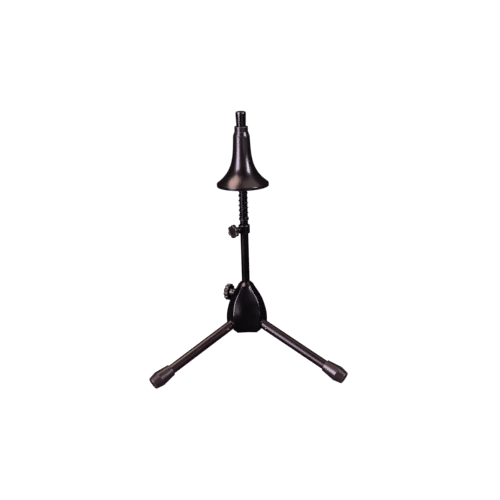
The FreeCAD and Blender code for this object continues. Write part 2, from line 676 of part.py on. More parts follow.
def cone_shell():
    """Flared cone, thin below and solid round its bush above."""
    points = cone_outline()
    curve = Part.BSplineCurve()
    curve.interpolate(points)
    rim = CONE_RIM_DIAMETER / 2
    profile = Part.Wire([
        curve.toShape(),
        Part.makeLine(points[-1], Vector(rim, 0, CONE_RIM_LOW)),
        Part.makeLine(Vector(rim, 0, CONE_RIM_LOW), Vector(0, 0, CONE_RIM_LOW)),
        Part.makeLine(Vector(0, 0, CONE_RIM_LOW), Vector(0, 0, CONE_NECK_TOP)),
        Part.makeLine(Vector(0, 0, CONE_NECK_TOP), points[0]),
    ])
    outside = Part.Face(profile).revolve(ORIGIN, UP, 360)
    inner_points = []
    for point in points:
        tangent = curve.tangent(curve.parameter(point))[0]
        inner_points.append(point + Vector(tangent.z, 0, -tangent.x) * CONE_WALL)
    inner_curve = Part.BSplineCurve()
    inner_curve.interpolate(inner_points)
    low = inner_points[-1]
    high = inner_points[0]
    inner_rim = Vector(rim - CONE_WALL, 0, CONE_RIM_LOW)
    void_profile = Part.Wire([
        inner_curve.toShape(),
        Part.makeLine(low, inner_rim),
        Part.makeLine(inner_rim, Vector(0, 0, CONE_RIM_LOW)),
        Part.makeLine(Vector(0, 0, CONE_RIM_LOW), Vector(0, 0, high.z)),
        Part.makeLine(Vector(0, 0, high.z), high),
    ])
    void = Part.Face(void_profile).revolve(ORIGIN, UP, 360)
    void = void.cut(disc(FAR, CONE_NECK_FLOOR, CONE_NECK_TOP + FAR))
    return outside.cut(void).cut(disc(cone_bush_radius, CONE_RIM_LOW, CONE_NECK_TOP))


def cone_ring():
    """Bevelled ring on the cone's neck, which guides the instrument's bell."""
    outer = CONE_RING_DIAMETER / 2
    outline = [
        (cone_bush_radius, CONE_NECK_TOP),
        (CONE_NECK_DIAMETER / 2, CONE_NECK_TOP),
        (outer, CONE_NECK_TOP + CONE_RING_BEVEL),
        (outer, cone_ring_top),
        (cone_bush_radius, cone_ring_top),
    ]
    return spun(outline)


def cone_bush():
    """Flanged bush in the cone, which slides on the upper tube."""
    top = retaining_ring_low - FACE_GAP
    flange_low = CONE_NECK_FLOOR - CONE_BUSH_FLANGE_HEIGHT
    bush = ring(cone_bush_radius, post_guide_radius, flange_low, top)
    return bush.fuse(ring(CONE_BUSH_FLANGE_DIAMETER / 2, post_guide_radius, flange_low, CONE_NECK_FLOOR))


def thrust_washer():
    """Washer between the spring and the cone's bush."""
    return ring(post_radius + WASHER_WIDTH, post_guide_radius, washer_top - WASHER_HEIGHT, washer_top)


def cone_spring():
    """Coil spring on the upper tube, from its seat to the washer."""
    wire_radius = SPRING_WIRE / 2
    coil_radius = post_radius + SPRING_GAP + wire_radius
    low = seat_low + SEAT_HEIGHT + wire_radius
    high = washer_top - WASHER_HEIGHT - wire_radius
    helix = Part.makeHelix(SPRING_PITCH, high - low, coil_radius)
    section = Part.Wire(Part.makeCircle(wire_radius, Vector(coil_radius, 0, 0), Vector(0, 1, 0)))
    coil = Part.Wire(helix.Edges).makePipeShell([section], True, True)
    return coil.translated(UP * low)


# ---- build --------------------------------------------------------------------------------

def main():
    os.makedirs("parts", exist_ok=True)
    pins = [turned(pivot_pin(2 * cheek_half_width), azimuth) for azimuth in LEG_AZIMUTHS.values()]
    save_one("hub_shell", hub_shell())
    save_one("neck_ring", neck_ring())
    save_one("lower_bush", lower_bush())
    save("leg_pivot_pins", Part.makeCompound(pins))
    for side, azimuth in LEG_AZIMUTHS.items():
        save_leg(side, azimuth)
    save_one("post_tube", post_tube())
    save_one("post_plug", post_plug())
    save_one("post_collar", post_collar())
    save_clamp("hub", HUB_CLAMP_AZIMUTH, HUB_CLAMP_HEIGHT, post_radius, {
        "stud": HUB_STUD_DIAMETER,
        "insert": HUB_INSERT_DIAMETER,
        "insert_start": post_radius + PAD_THICKNESS + PAD_TRAVEL,
        "insert_end": HUB_BOSS_END,
        "pad": HUB_PAD_DIAMETER,
        "knob": {
            "diameter": HUB_KNOB_DIAMETER,
            "thickness": HUB_KNOB_THICKNESS,
            "boss_diameter": HUB_KNOB_BOSS_DIAMETER,
            "boss_length": HUB_KNOB_BOSS_LENGTH,
            "lobes": HUB_KNOB_LOBES,
            "scallop": HUB_KNOB_SCALLOP,
        },
    })
    save_clamp("collar", COLLAR_CLAMP_AZIMUTH, collar_clamp_height, rod_radius, {
        "stud": COLLAR_STUD_DIAMETER,
        "insert": COLLAR_INSERT_DIAMETER,
        "insert_start": rod_radius + PAD_THICKNESS + PAD_TRAVEL,
        "insert_end": COLLAR_BOSS_END,
        "pad": COLLAR_PAD_DIAMETER,
        "knob": {
            "diameter": COLLAR_KNOB_DIAMETER,
            "thickness": COLLAR_KNOB_THICKNESS,
            "boss_diameter": COLLAR_KNOB_BOSS_DIAMETER,
            "boss_length": COLLAR_KNOB_BOSS_LENGTH,
            "lobes": COLLAR_KNOB_LOBES,
            "scallop": COLLAR_KNOB_SCALLOP,
        },
    })
    save_one("inner_rod", inner_rod())
    save_one("rod_bush", rod_bush())
    save_one("upper_tube", upper_tube())
    save_one("joint_pin", joint_pin())
    save_one("spring_seat", spring_seat())
    save_one("seat_pin", seat_pin())
    save_one("retaining_ring", retaining_ring())
    save_one("peg_cap", peg_cap())
    save_one("cone_shell", cone_shell())
    save_one("cone_ring", cone_ring())
    save_one("cone_bush", cone_bush())
    save_one("thrust_washer", thrust_washer())
    save_one("cone_spring", cone_spring())


main()
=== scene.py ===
# %% [markdown]
# # A folding trumpet stand, dressed in Blender
#
# The stand was designed as an engineering model first: its tubes, pins, bushes and joints have fixed
# places, and each of them rides on a body that can move. This script loads that model as a frame and
# gives it its looks. It works in metres, and nothing in it moves or resizes an engineering part.

# %% Load the frame
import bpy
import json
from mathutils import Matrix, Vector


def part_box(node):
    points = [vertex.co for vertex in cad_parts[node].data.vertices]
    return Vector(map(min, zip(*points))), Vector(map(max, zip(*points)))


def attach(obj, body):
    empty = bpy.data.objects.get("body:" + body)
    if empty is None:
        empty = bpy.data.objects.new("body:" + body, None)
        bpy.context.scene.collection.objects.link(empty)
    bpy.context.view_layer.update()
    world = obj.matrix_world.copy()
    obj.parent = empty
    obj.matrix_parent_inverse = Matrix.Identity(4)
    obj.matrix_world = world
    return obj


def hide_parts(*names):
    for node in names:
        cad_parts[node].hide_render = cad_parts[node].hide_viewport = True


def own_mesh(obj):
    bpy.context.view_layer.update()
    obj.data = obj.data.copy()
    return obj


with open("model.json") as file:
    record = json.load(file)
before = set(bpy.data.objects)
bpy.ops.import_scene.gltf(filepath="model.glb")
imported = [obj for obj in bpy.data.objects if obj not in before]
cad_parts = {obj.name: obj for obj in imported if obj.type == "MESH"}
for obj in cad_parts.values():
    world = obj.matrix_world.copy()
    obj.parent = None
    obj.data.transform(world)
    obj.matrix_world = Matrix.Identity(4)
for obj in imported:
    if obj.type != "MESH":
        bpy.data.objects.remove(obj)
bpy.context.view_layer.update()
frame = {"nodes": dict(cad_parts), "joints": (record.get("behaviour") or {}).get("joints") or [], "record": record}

# %% [markdown]
# ## The camera
#
# A long lens from two metres away keeps the upright post straight and the cone's rim nearly flat.
# The camera stands above the cone and looks down at the stand. It is rolled by a little under two
# degrees, because the real stand leans to the left. Rolling the camera tilts the picture and leaves the
# model upright.

# %% Camera
import json
import math

import bmesh
import bpy
from mathutils import Matrix, Vector

CAMERA_DISTANCE = 2.0
CAMERA_HEIGHT = 0.793
CAMERA_SIDE = 0.00996
CAMERA_PITCH = math.radians(15.473)
CAMERA_ROLL = math.radians(1.693)
CAMERA_LENS = 76.89
SENSOR_WIDTH = 36.0

scene = bpy.context.scene
camera_data = bpy.data.cameras.new("camera")
camera_data.lens = CAMERA_LENS
camera_data.sensor_width = SENSOR_WIDTH
camera = bpy.data.objects.new("camera", camera_data)
scene.collection.objects.link(camera)
camera_turn = Matrix.Rotation(math.pi / 2 - CAMERA_PITCH, 4, "X") @ Matrix.Rotation(-CAMERA_ROLL, 4, "Z")
camera.matrix_world = Matrix.Translation((CAMERA_SIDE, -CAMERA_DISTANCE, CAMERA_HEIGHT)) @ camera_turn
scene.camera = camera
print("camera looks down by", round(math.degrees(CAMERA_PITCH), 1), "degrees")

# %% [markdown]
# ## The studio
#
# Black gloss plastic hardly shows a colour of its own: what the eye reads as its shape is the
# reflection of the lamps, and the deep black between them is the reflection of a dark room. A pale
# floor and pale surroundings would fill those blacks with grey. So the floor and the surroundings are
# pale to look at and to be lit by, and dark only for a mirror-like ray, which the Light Path node can
# tell.
#
# Five soft boxes draw the highlights. A tall, wide key lamp at the left and a higher one at the right
# make the long streaks down the cone. A warm lamp overhead lights the flare, with a weak one beside it
# for the flare's right side, and a low, faint one in front reaches the hub's panels. The floor gives off
# most of its own light, so it stays an even pale tone however near the lamps are.

# %% Floor, surroundings and lamps
FLOOR_SIZE = 40.0
PALE = (0.95, 0.95, 0.955, 1)
ROOM_SEEN_IN_GLOSS = (0.018, 0.015, 0.018, 1)
FLOOR_BASE = (0.12, 0.12, 0.12, 1)
FLOOR_GLOW = 0.95
SURROUNDINGS_STRENGTH = 1.06


def soften_reflections(tree, pale_shader, output_name):
    """Shows the pale shader to every ray but a glossy one, which sees a dark room instead."""
    light_path = tree.nodes.new("ShaderNodeLightPath")
    room_kind = "ShaderNodeEmission" if output_name == "OUTPUT_MATERIAL" else "ShaderNodeBackground"
    room = tree.nodes.new(room_kind)
    room.inputs["Color"].default_value = ROOM_SEEN_IN_GLOSS
    mix = tree.nodes.new("ShaderNodeMixShader")
    tree.links.new(light_path.outputs["Is Glossy Ray"], mix.inputs["Fac"])
    tree.links.new(pale_shader.outputs[0], mix.inputs[1])
    tree.links.new(room.outputs[0], mix.inputs[2])
    output = next(node for node in tree.nodes if node.type == output_name)
    tree.links.new(mix.outputs[0], output.inputs["Surface"])


def pale_floor():
    """A pale matt floor at the height of the feet, wide enough to be the backdrop too."""
    half = FLOOR_SIZE / 2
    mesh = bpy.data.meshes.new("floor")
    corners = [(-half, -half, 0), (half, -half, 0), (half, half, 0), (-half, half, 0)]
    mesh.from_pydata(corners, [], [(0, 1, 2, 3)])
    floor = bpy.data.objects.new("floor", mesh)
    scene.collection.objects.link(floor)
    material = bpy.data.materials.new("pale_floor")
    material.use_nodes = True
    surface = material.node_tree.nodes["Principled BSDF"]
    surface.inputs["Base Color"].default_value = FLOOR_BASE
    surface.inputs["Emission Color"].default_value = PALE
    surface.inputs["Emission Strength"].default_value = FLOOR_GLOW
    surface.inputs["Roughness"].default_value = 0.9
    surface.inputs["Specular IOR Level"].default_value = 0.0
    soften_reflections(material.node_tree, surface, "OUTPUT_MATERIAL")
    mesh.materials.append(material)


def soft_box(name, place, size, power, colour, target=(0, 0, 0.25)):
    """A rectangular lamp that looks at the middle of the stand."""
    data = bpy.data.lights.new(name, "AREA")
    data.shape = "RECTANGLE"
    data.size, data.size_y = size
    data.energy = power
    data.color = colour
    lamp = bpy.data.objects.new(name, data)
    scene.collection.objects.link(lamp)
    facing = (Vector(target) - Vector(place)).to_track_quat("-Z", "Y")
    lamp.matrix_world = Matrix.Translation(place) @ facing.to_matrix().to_4x4()


pale_floor()
world = bpy.data.worlds.new("surroundings")
world.use_nodes = True
background = world.node_tree.nodes["Background"]
background.inputs["Color"].default_value = PALE
background.inputs["Strength"].default_value = SURROUNDINGS_STRENGTH
soften_reflections(world.node_tree, background, "OUTPUT_WORLD")
scene.world = world
soft_box("key_lamp", (-1.45, -1.35, 0.8), (1.0, 1.56), 92, (0.97, 0.82, 1.0))
soft_box("side_lamp", (1.7, -1.05, 1.3), (0.55, 1.2), 62, (0.97, 0.84, 1.0))
soft_box("warm_lamp", (-0.78, -0.12, 1.85), (1.15, 0.75), 30, (1.0, 0.66, 0.6))
soft_box("sky_lamp", (0.55, 0.1, 1.9), (1.0, 1.1), 5, (1.0, 0.74, 0.7))
soft_box("front_lamp", (0.95, -1.95, 0.22), (0.9, 0.26), 1.6, (1.0, 0.84, 0.98))
scene.view_settings.view_transform = "Standard"
print("lamps:", [light.name for light in bpy.data.lights])

# %% [markdown]
# ## Finishes
#
# Every finish is worked out by nodes from the object's own coordinates, so it needs no picture and no
# unwrapping. Three things make a plastic or a paint look real from close up: the gloss varies a little
# from place to place, the skin is never quite flat, and the edges that hands rub are a shade paler. The
# first two come from noise. The third reads a number called wear, which the mesh code further down
# writes on the rounded edges.

# %% Node helpers
def add(tree, kind, feeds=None, **settings):
    """Adds a node to a tree. Each feed is a value for an input, or another node's output to link to it."""
    node = tree.nodes.new(kind)
    for key, value in settings.items():
        setattr(node, key, value)
    for socket, value in (feeds or {}).items():
        if isinstance(value, bpy.types.NodeSocket):
            tree.links.new(value, node.inputs[socket])
        else:
            node.inputs[socket].default_value = value
    return node


def noise(tree, place, size, detail=3.0, roughness=0.55):
    """Noise whose blotches are about this size, in metres."""
    feeds = {"Vector": place, "Scale": 1 / size, "Detail": detail, "Roughness": roughness}
    return add(tree, "ShaderNodeTexNoise", feeds).outputs["Fac"]


def spread(tree, value, low, high, start=0.3, end=0.7):
    """Stretches a noise to run from low to high."""
    feeds = {"Value": value, "From Min": start, "From Max": end, "To Min": low, "To Max": high}
    return add(tree, "ShaderNodeMapRange", feeds).outputs["Result"]


def blend_colour(tree, share, first, second):
    """Mixes two colours, each a colour or another node's output."""
    feeds = {0: share, 6: first, 7: second}
    return add(tree, "ShaderNodeMix", feeds, data_type="RGBA").outputs[2]


# %% [markdown]
# One function makes all the plastics, paints and the rubber, because they differ only in numbers: how
# dark and how glossy they are, how fine and deep their grain is, and which colour shows where they are
# worn.
# Metals have their own function, since their colour is in the reflection itself.

# %% Finishes for plastic, paint and rubber
def skin(name, colour, gloss, grain, depth, worn, coat=0.0, shine=0.5, wave=0.004, tint=1.5):
    """A dark moulded or painted finish. Grain is the size of the skin's texture, depth how deep it is."""
    material = bpy.data.materials.new(name)
    material.use_nodes = True
    tree = material.node_tree
    surface = tree.nodes["Principled BSDF"]
    place = add(tree, "ShaderNodeTexCoord").outputs["Object"]
    blotches = noise(tree, place, 0.03)
    wear = add(tree, "ShaderNodeAttribute", attribute_name="wear").outputs["Fac"]
    chips = spread(tree, noise(tree, place, 0.0016, 5.0), 0.25, 1.0, 0.35, 0.65)
    rubbed = add(tree, "ShaderNodeMath", {0: wear, 1: chips}, operation="MULTIPLY").outputs[0]
    paler = tuple(channel * tint + 0.0002 for channel in colour) + (1,)
    body = blend_colour(tree, spread(tree, blotches, 0.0, 1.0), colour + (1,), paler)
    tree.links.new(blend_colour(tree, rubbed, body, worn + (1,)), surface.inputs["Base Color"])
    streaks = add(tree, "ShaderNodeMapping", {"Vector": place, "Scale": (1.0, 1.0, 0.12)}).outputs[0]
    scuffs = spread(tree, noise(tree, streaks, 0.0012, 6.0, 0.7), 0.0, 0.09, 0.6, 0.78)
    uneven = spread(tree, blotches, gloss - 0.03, gloss + 0.05)
    duller = add(tree, "ShaderNodeMath", {0: uneven, 1: scuffs}, operation="ADD").outputs[0]
    worn_gloss = add(tree, "ShaderNodeMath", {0: rubbed, 1: 0.12, 2: duller}, operation="MULTIPLY_ADD")
    tree.links.new(worn_gloss.outputs[0], surface.inputs["Roughness"])
    fine = add(tree, "ShaderNodeBump", {"Height": noise(tree, place, grain, 2.0), "Distance": depth})
    fine.inputs["Strength"].default_value = 0.6
    waves = add(tree, "ShaderNodeBump", {"Height": noise(tree, place, wave, 1.0), "Distance": wave * 0.006})
    tree.links.new(fine.outputs[0], waves.inputs["Normal"])
    tree.links.new(waves.outputs[0], surface.inputs["Normal"])
    surface.inputs["Coat Weight"].default_value = coat
    surface.inputs["Specular IOR Level"].default_value = shine
    surface.inputs["Coat Roughness"].default_value = 0.12
    return material


SKINS = {
    "hub_plastic": dict(
        colour=(0.0005, 0.0004, 0.0006), gloss=0.17, grain=0.0005, depth=1e-5,
        worn=(0.02, 0.017, 0.02), coat=0.2),
    "neck_plastic": dict(
        colour=(0.0005, 0.0004, 0.0006), gloss=0.17, grain=0.0005, depth=1e-5,
        worn=(0.02, 0.017, 0.02)),
    "collar_plastic": dict(
        colour=(0.0005, 0.0004, 0.0005), gloss=0.22, grain=0.0005, depth=1e-5,
        worn=(0.02, 0.017, 0.02)),
    "knob_plastic": dict(
        colour=(0.0022, 0.0016, 0.0015), gloss=0.3, grain=0.0006, depth=2e-5,
        worn=(0.04, 0.032, 0.03)),
    "cap_plastic": dict(
        colour=(0.0004, 0.0003, 0.0004), gloss=0.16, grain=0.0008, depth=6e-6,
        worn=(0.012, 0.01, 0.012), coat=0.3),
    "cone_plastic": dict(
        colour=(0.0018, 0.0008, 0.0014), gloss=0.23, grain=0.0004, depth=2e-5,
        worn=(0.05, 0.036, 0.04)),
    "leg_end_plastic": dict(
        colour=(0.0018, 0.001, 0.0014), gloss=0.28, grain=0.0006, depth=2e-5,
        worn=(0.03, 0.022, 0.022)),
    "leg_tube": dict(
        colour=(0.0032, 0.0009, 0.0014), gloss=0.27, grain=0.0009, depth=1e-5,
        worn=(0.03, 0.02, 0.02), shine=0.36),
    "black_tube": dict(
        colour=(0.0003, 0.0002, 0.0003), gloss=0.2, grain=0.0009, depth=1e-5,
        worn=(0.03, 0.027, 0.027), coat=0.1),
    "foot_rubber": dict(
        colour=(0.0075, 0.0036, 0.0045), gloss=0.3, grain=0.0006, depth=4e-5,
        worn=(0.05, 0.036, 0.036)),
    "nylon": dict(
        colour=(0.02, 0.019, 0.02), gloss=0.5, grain=0.0006, depth=3e-5,
        worn=(0.06, 0.058, 0.06)),
}
FINISHES = {name: skin(name, **numbers) for name, numbers in SKINS.items()}
print("dark finishes:", len(FINISHES))

# %% [markdown]
# Machined and plated metal shows fine tool marks. They are noise squeezed in one direction, which the
# eye reads as turning marks round a bush or as drawing marks along a wire.

# %% Finishes for metal
def metal(name, colour, gloss, marks=(1.0, 1.0, 14.0)):
    """A bare or plated metal with fine marks."""
    material = bpy.data.materials.new(name)
    material.use_nodes = True
    tree = material.node_tree
    surface = tree.nodes["Principled BSDF"]
    place = add(tree, "ShaderNodeTexCoord").outputs["Object"]
    squeezed = add(tree, "ShaderNodeMapping", {"Vector": place, "Scale": marks}).outputs[0]
    tarnish = spread(tree, noise(tree, place, 0.004), 0.0, 1.0)
    darker = tuple(channel * 0.72 for channel in colour) + (1,)
    tree.links.new(blend_colour(tree, tarnish, colour + (1,), darker), surface.inputs["Base Color"])
    lines = noise(tree, squeezed, 0.0015, 4.0)
    tree.links.new(spread(tree, lines, gloss - 0.06, gloss + 0.1), surface.inputs["Roughness"])
    bump = add(tree, "ShaderNodeBump", {"Height": lines, "Distance": 1e-5, "Strength": 0.5})
    tree.links.new(bump.outputs[0], surface.inputs["Normal"])
    surface.inputs["Metallic"].default_value = 1.0
    return material


FINISHES["brass"] = metal("brass", (0.72, 0.52, 0.24), 0.28)
FINISHES["zinc_steel"] = metal("zinc_steel", (0.05, 0.047, 0.05), 0.34)
FINISHES["rivet_steel"] = metal("rivet_steel", (0.09, 0.075, 0.08), 0.3)
FINISHES["spring_steel"] = metal("spring_steel", (0.035, 0.031, 0.034), 0.3, (1.0, 1.0, 3.0))
slots_of_nodes = {part["node"]: part["material_slot"] for part in frame["record"]["subparts"]}
for node_name, slot_name in slots_of_nodes.items():
    cad_mesh = frame["nodes"][node_name].data
    cad_mesh.materials.clear()
    cad_mesh.materials.append(FINISHES[slot_name])
print("finishes:", len(FINISHES), "on", len(slots_of_nodes), "nodes")

# %% [markdown]
# ## Round pieces
#
# Most of the stand is turned or moulded round an axis, so one lathe function makes them all. An outline
# is a short list of corners, each with its own rounding, and `rounded` replaces every corner by an arc.
# It also puts a point just beyond each end of an arc. Such a holding point keeps the smooth shading of
# the arc from spilling over the flat beside it, which would show on gloss as a smeared highlight.

# %% Outline and lathe
ARC_STEPS = 5
HOLD = 0.25


def rounded(corners, steps=ARC_STEPS):
    """Turns corners of (radius, height, rounding) into points of (radius, height, wear)."""
    points = []
    last = len(corners) - 1
    for index, (across, along, rounding) in enumerate(corners):
        here = Vector((across, along))
        if rounding == 0 or index in (0, last):
            points.append((across, along, 0.0))
            continue
        before = (Vector(corners[index - 1][:2]) - here).normalized()
        after = (Vector(corners[index + 1][:2]) - here).normalized()
        half = before.angle(after) / 2
        trim = rounding / math.tan(half)
        centre = here + (before + after).normalized() * (rounding / math.sin(half))
        start = here + before * trim
        turn = math.pi - 2 * half
        side = math.copysign(1.0, before.cross(after))
        hold_before = here + before * trim * (1 + HOLD)
        hold_after = here + after * trim * (1 + HOLD)
        points.append((hold_before.x, hold_before.y, 0.0))
        for step in range(steps + 1):
            arm = start - centre
            arm.rotate(Matrix.Rotation(-side * turn * step / steps, 2))
            crest = math.sin(math.pi * step / steps)
            points.append((centre.x + arm.x, centre.y + arm.y, crest))
        points.append((hold_after.x, hold_after.y, 0.0))
    return points


def mesh_object(name, vertices, faces, wear=None):
    """A linked object with a smooth, outward-facing mesh."""
    mesh = bpy.data.meshes.new(name)
    mesh.from_pydata(vertices, [], faces)
    if wear:
        mesh.attributes.new("wear", "FLOAT", "POINT").data.foreach_set("value", wear)
    made = bmesh.new()
    made.from_mesh(mesh)
    bmesh.ops.recalc_face_normals(made, faces=made.faces)
    made.to_mesh(mesh)
    made.free()
    mesh.shade_smooth()
    result = bpy.data.objects.new(name, mesh)
    scene.collection.objects.link(result)
    return result


def lathe(name, points, place=Matrix.Identity(4), turns=96, closed=True, lobe=None):
    """Spins an outline about the Z axis of a place. A closed outline makes a ring, an open one a solid."""
    vertices, wear, rows = [], [], []
    for across, along, worn in points:
        if across < 1e-7:
            rows.append([len(vertices)] * turns)
            vertices.append(place @ Vector((0, 0, along)))
            wear.append(worn)
            continue
        rows.append(list(range(len(vertices), len(vertices) + turns)))
        for turn in range(turns):
            angle = 2 * math.pi * turn / turns
            radius = across - (lobe(angle, across, along) if lobe else 0)
            vertices.append(place @ Vector((radius * math.cos(angle), radius * math.sin(angle), along)))
            wear.append(worn)
    pairs = list(zip(rows, rows[1:] + rows[:1] if closed else rows[1:]))
    faces = []
    for lower, upper in pairs:
        for turn in range(turns):
            following = (turn + 1) % turns
            corners = [lower[turn], lower[following], upper[following], upper[turn]]
            face = list(dict.fromkeys(corners))
            if len(face) > 2:
                faces.append(face)
    return mesh_object(name, vertices, faces, wear)


def dress(piece, body, slot_name, *nodes):
    """Gives a piece its finish and its body, and lets it stand for CAD nodes."""
    piece.data.materials.clear()
    piece.data.materials.append(FINISHES[slot_name])
    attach(piece, body)
    if nodes:
        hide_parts(*nodes)
    print(piece.name, "rides on", body, "with", len(piece.data.polygons), "faces")


# %% [markdown]
# ## The cap
#
# The cap is a plain glossy plug, a little wider at its shoulder than at its mouth, with a large soft
# edge and a slightly crowned top. Its skin is the glossiest of all, because the large edge should always
# find a lamp. Its inside follows the tube that it sits on.

# %% Cap
MM = 0.001
TUBE_RADIUS = 8 * MM
CAP_MOUTH_RADIUS = 9.2 * MM
CAP_EDGE = 3.4 * MM
CAP_CROWN = 1.0 * MM
CAP_INSIDE = 4.0 * MM
cap_low, cap_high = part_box("peg_cap")
cap_radius = cap_high.x
cap_outline = rounded([
    (TUBE_RADIUS, cap_high.z - CAP_INSIDE, 0),
    (TUBE_RADIUS, cap_low.z, 0.3 * MM),
    (CAP_MOUTH_RADIUS, cap_low.z, 0.4 * MM),
    (cap_radius, cap_high.z - CAP_CROWN, CAP_EDGE),
    (0, cap_high.z, 0),
], steps=10)
cap_outline.append((0, cap_high.z - CAP_INSIDE, 0.0))
dress(lathe("cap", cap_outline), "rod", "cap_plastic", "peg_cap")

# %% [markdown]
# ## The bell cone
#
# The cone's side follows a rule: its radius grows in a straight taper, plus a share that grows with a
# high power of the way down, which is what makes a trumpet bell's flare. A rule like that suits
# Geometry Nodes: a flat grid is rolled up, and one formula places every point. The sizes stay inputs of
# the tree, so the same tree would make the cone for a cornet or a trombone. The rim's upright band and
# the wall are added to the plain mesh afterwards.

# %% Helpers for Geometry Nodes
def new_tree(name, inputs):
    """A node tree with named inputs of (kind, value), and the group's input node."""
    tree = bpy.data.node_groups.new(name, "GeometryNodeTree")
    for label, (kind, value) in inputs.items():
        socket = tree.interface.new_socket(label, in_out="INPUT", socket_type="NodeSocket" + kind)
        socket.default_value = value
    tree.interface.new_socket("Geometry", in_out="OUTPUT", socket_type="NodeSocketGeometry")
    return tree, add(tree, "NodeGroupInput").outputs


def maths(tree, operation, *values):
    """The output of one Math node."""
    return add(tree, "ShaderNodeMath", dict(enumerate(values)), operation=operation).outputs[0]


def close_tree(tree, geometry, material):
    """Ends a tree in plain geometry that carries its material."""
    real = add(tree, "GeometryNodeRealizeInstances", {"Geometry": geometry})
    painted = add(tree, "GeometryNodeSetMaterial", {"Geometry": real.outputs[0], "Material": material})
    add(tree, "NodeGroupOutput", {"Geometry": painted.outputs[0]})


def settle(piece):
    """Keeps the result of a piece's modifiers as its plain mesh, and takes them off."""
    graph = bpy.context.evaluated_depsgraph_get()
    mesh = bpy.data.meshes.new_from_object(piece.evaluated_get(graph), depsgraph=graph)
    piece.modifiers.clear()
    piece.data = mesh
    mesh.shade_smooth()
    return piece


def grow(name, tree, **sizes):
    """Runs a tree with these sizes and keeps the result as a plain mesh."""
    piece = bpy.data.objects.new(name, bpy.data.meshes.new(name))
    scene.collection.objects.link(piece)
    modifier = piece.modifiers.new("tree", "NODES")
    modifier.node_group = tree
    for item in tree.interface.items_tree:
        if item.in_out == "INPUT" and item.name in sizes:
            modifier[item.identifier] = sizes[item.name]
    return settle(piece)


# %% Cone
CONE_NECK_RADIUS = 16 * MM
CONE_BAND = 6 * MM
CONE_WALL = 2.6 * MM
CONE_STRAIGHT_SHARE = 0.12
CONE_FLARE_POWER = 4.0
CONE_EDGE = 0.9 * MM
CONE_FLOOR = 34 * MM
BUSH_RADIUS = 10.06 * MM
cone_low, cone_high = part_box("cone_shell")
cone_radius = cone_high.x


def cone_tree():
    """A grid rolled up into the cone's side: u runs from the neck to the rim, the other way goes round."""
    tree, sizes = new_tree("bell_cone", {
        "Neck radius": ("Float", 0.016), "Rim radius": ("Float", 0.05),
        "Top": ("Float", 0.46), "Bottom": ("Float", 0.37),
        "Straight share": ("Float", 0.12), "Flare power": ("Float", 4.0),
        "Levels": ("Int", 49), "Turns": ("Int", 129),
    })
    feeds = {"Size X": 1.0, "Size Y": 1.0, "Vertices X": sizes["Levels"], "Vertices Y": sizes["Turns"]}
    grid = add(tree, "GeometryNodeMeshGrid", feeds).outputs["Mesh"]
    place = add(tree, "ShaderNodeSeparateXYZ", {0: add(tree, "GeometryNodeInputPosition").outputs[0]})
    way_down = maths(tree, "ADD", place.outputs["X"], 0.5)
    angle = maths(tree, "MULTIPLY", place.outputs["Y"], -2 * math.pi)
    straight = maths(tree, "MULTIPLY", way_down, sizes["Straight share"])
    rest = maths(tree, "SUBTRACT", 1.0, sizes["Straight share"])
    flare = maths(tree, "MULTIPLY", rest, maths(tree, "POWER", way_down, sizes["Flare power"]))
    growth = maths(tree, "ADD", straight, flare)
    widening = maths(tree, "SUBTRACT", sizes["Rim radius"], sizes["Neck radius"])
    radius = maths(tree, "MULTIPLY_ADD", growth, widening, sizes["Neck radius"])
    drop = maths(tree, "SUBTRACT", sizes["Bottom"], sizes["Top"])
    height = maths(tree, "MULTIPLY_ADD", way_down, drop, sizes["Top"])
    east = maths(tree, "MULTIPLY", radius, maths(tree, "COSINE", angle))
    north = maths(tree, "MULTIPLY", radius, maths(tree, "SINE", angle))
    rolled = add(tree, "ShaderNodeCombineXYZ", {"X": east, "Y": north, "Z": height}).outputs[0]
    moved = add(tree, "GeometryNodeSetPosition", {"Geometry": grid, "Position": rolled})
    joined = add(tree, "GeometryNodeMergeByDistance", {"Geometry": moved.outputs[0], "Distance": 1e-6})
    close_tree(tree, joined.outputs[0], FINISHES["cone_plastic"])
    return tree


def band_and_wall(piece, band, wall, edge):
    """Draws the rim down into an upright band, then gives the sheet its wall and rounds its edges."""
    mesh = bmesh.new()
    mesh.from_mesh(piece.data)
    rim_height = min(vertex.co.z for vertex in mesh.verts)
    rim = [e for e in mesh.edges if e.is_boundary and all(v.co.z < rim_height + band / 2 for v in e.verts)]
    drawn = bmesh.ops.extrude_edge_only(mesh, edges=rim)["geom"]
    lower = [g for g in drawn if isinstance(g, bmesh.types.BMVert)]
    bmesh.ops.translate(mesh, verts=lower, vec=(0, 0, -band))
    bmesh.ops.recalc_face_normals(mesh, faces=mesh.faces)
    outward = sum(face.normal.dot(Vector((*face.calc_center_median().xy, 0))) for face in mesh.faces)
    if outward < 0:
        bmesh.ops.reverse_faces(mesh, faces=mesh.faces)
    mesh.to_mesh(piece.data)
    mesh.free()
    thickness = piece.modifiers.new("wall", "SOLIDIFY")
    thickness.thickness = wall
    thickness.offset = -1
    thickness.use_even_offset = True
    round_edges(piece, edge)
    return settle(piece)


def round_edges(piece, width, segments=3, angle=math.radians(30)):
    """Adds a bevel to a piece's sharp edges."""
    bevel = piece.modifiers.new("edges", "BEVEL")
    bevel.width = width
    bevel.segments = segments
    bevel.limit_method = "ANGLE"
    bevel.angle_limit = angle
    bevel.harden_normals = True


def cone_side(height):
    """The cone's outside radius at one height, by the tree's own rule."""
    way_down = (cone_high.z - height) / (cone_high.z - cone_low.z - CONE_BAND)
    growth = CONE_STRAIGHT_SHARE * way_down + (1 - CONE_STRAIGHT_SHARE) * way_down ** CONE_FLARE_POWER
    return CONE_NECK_RADIUS + growth * (cone_radius - CONE_NECK_RADIUS)


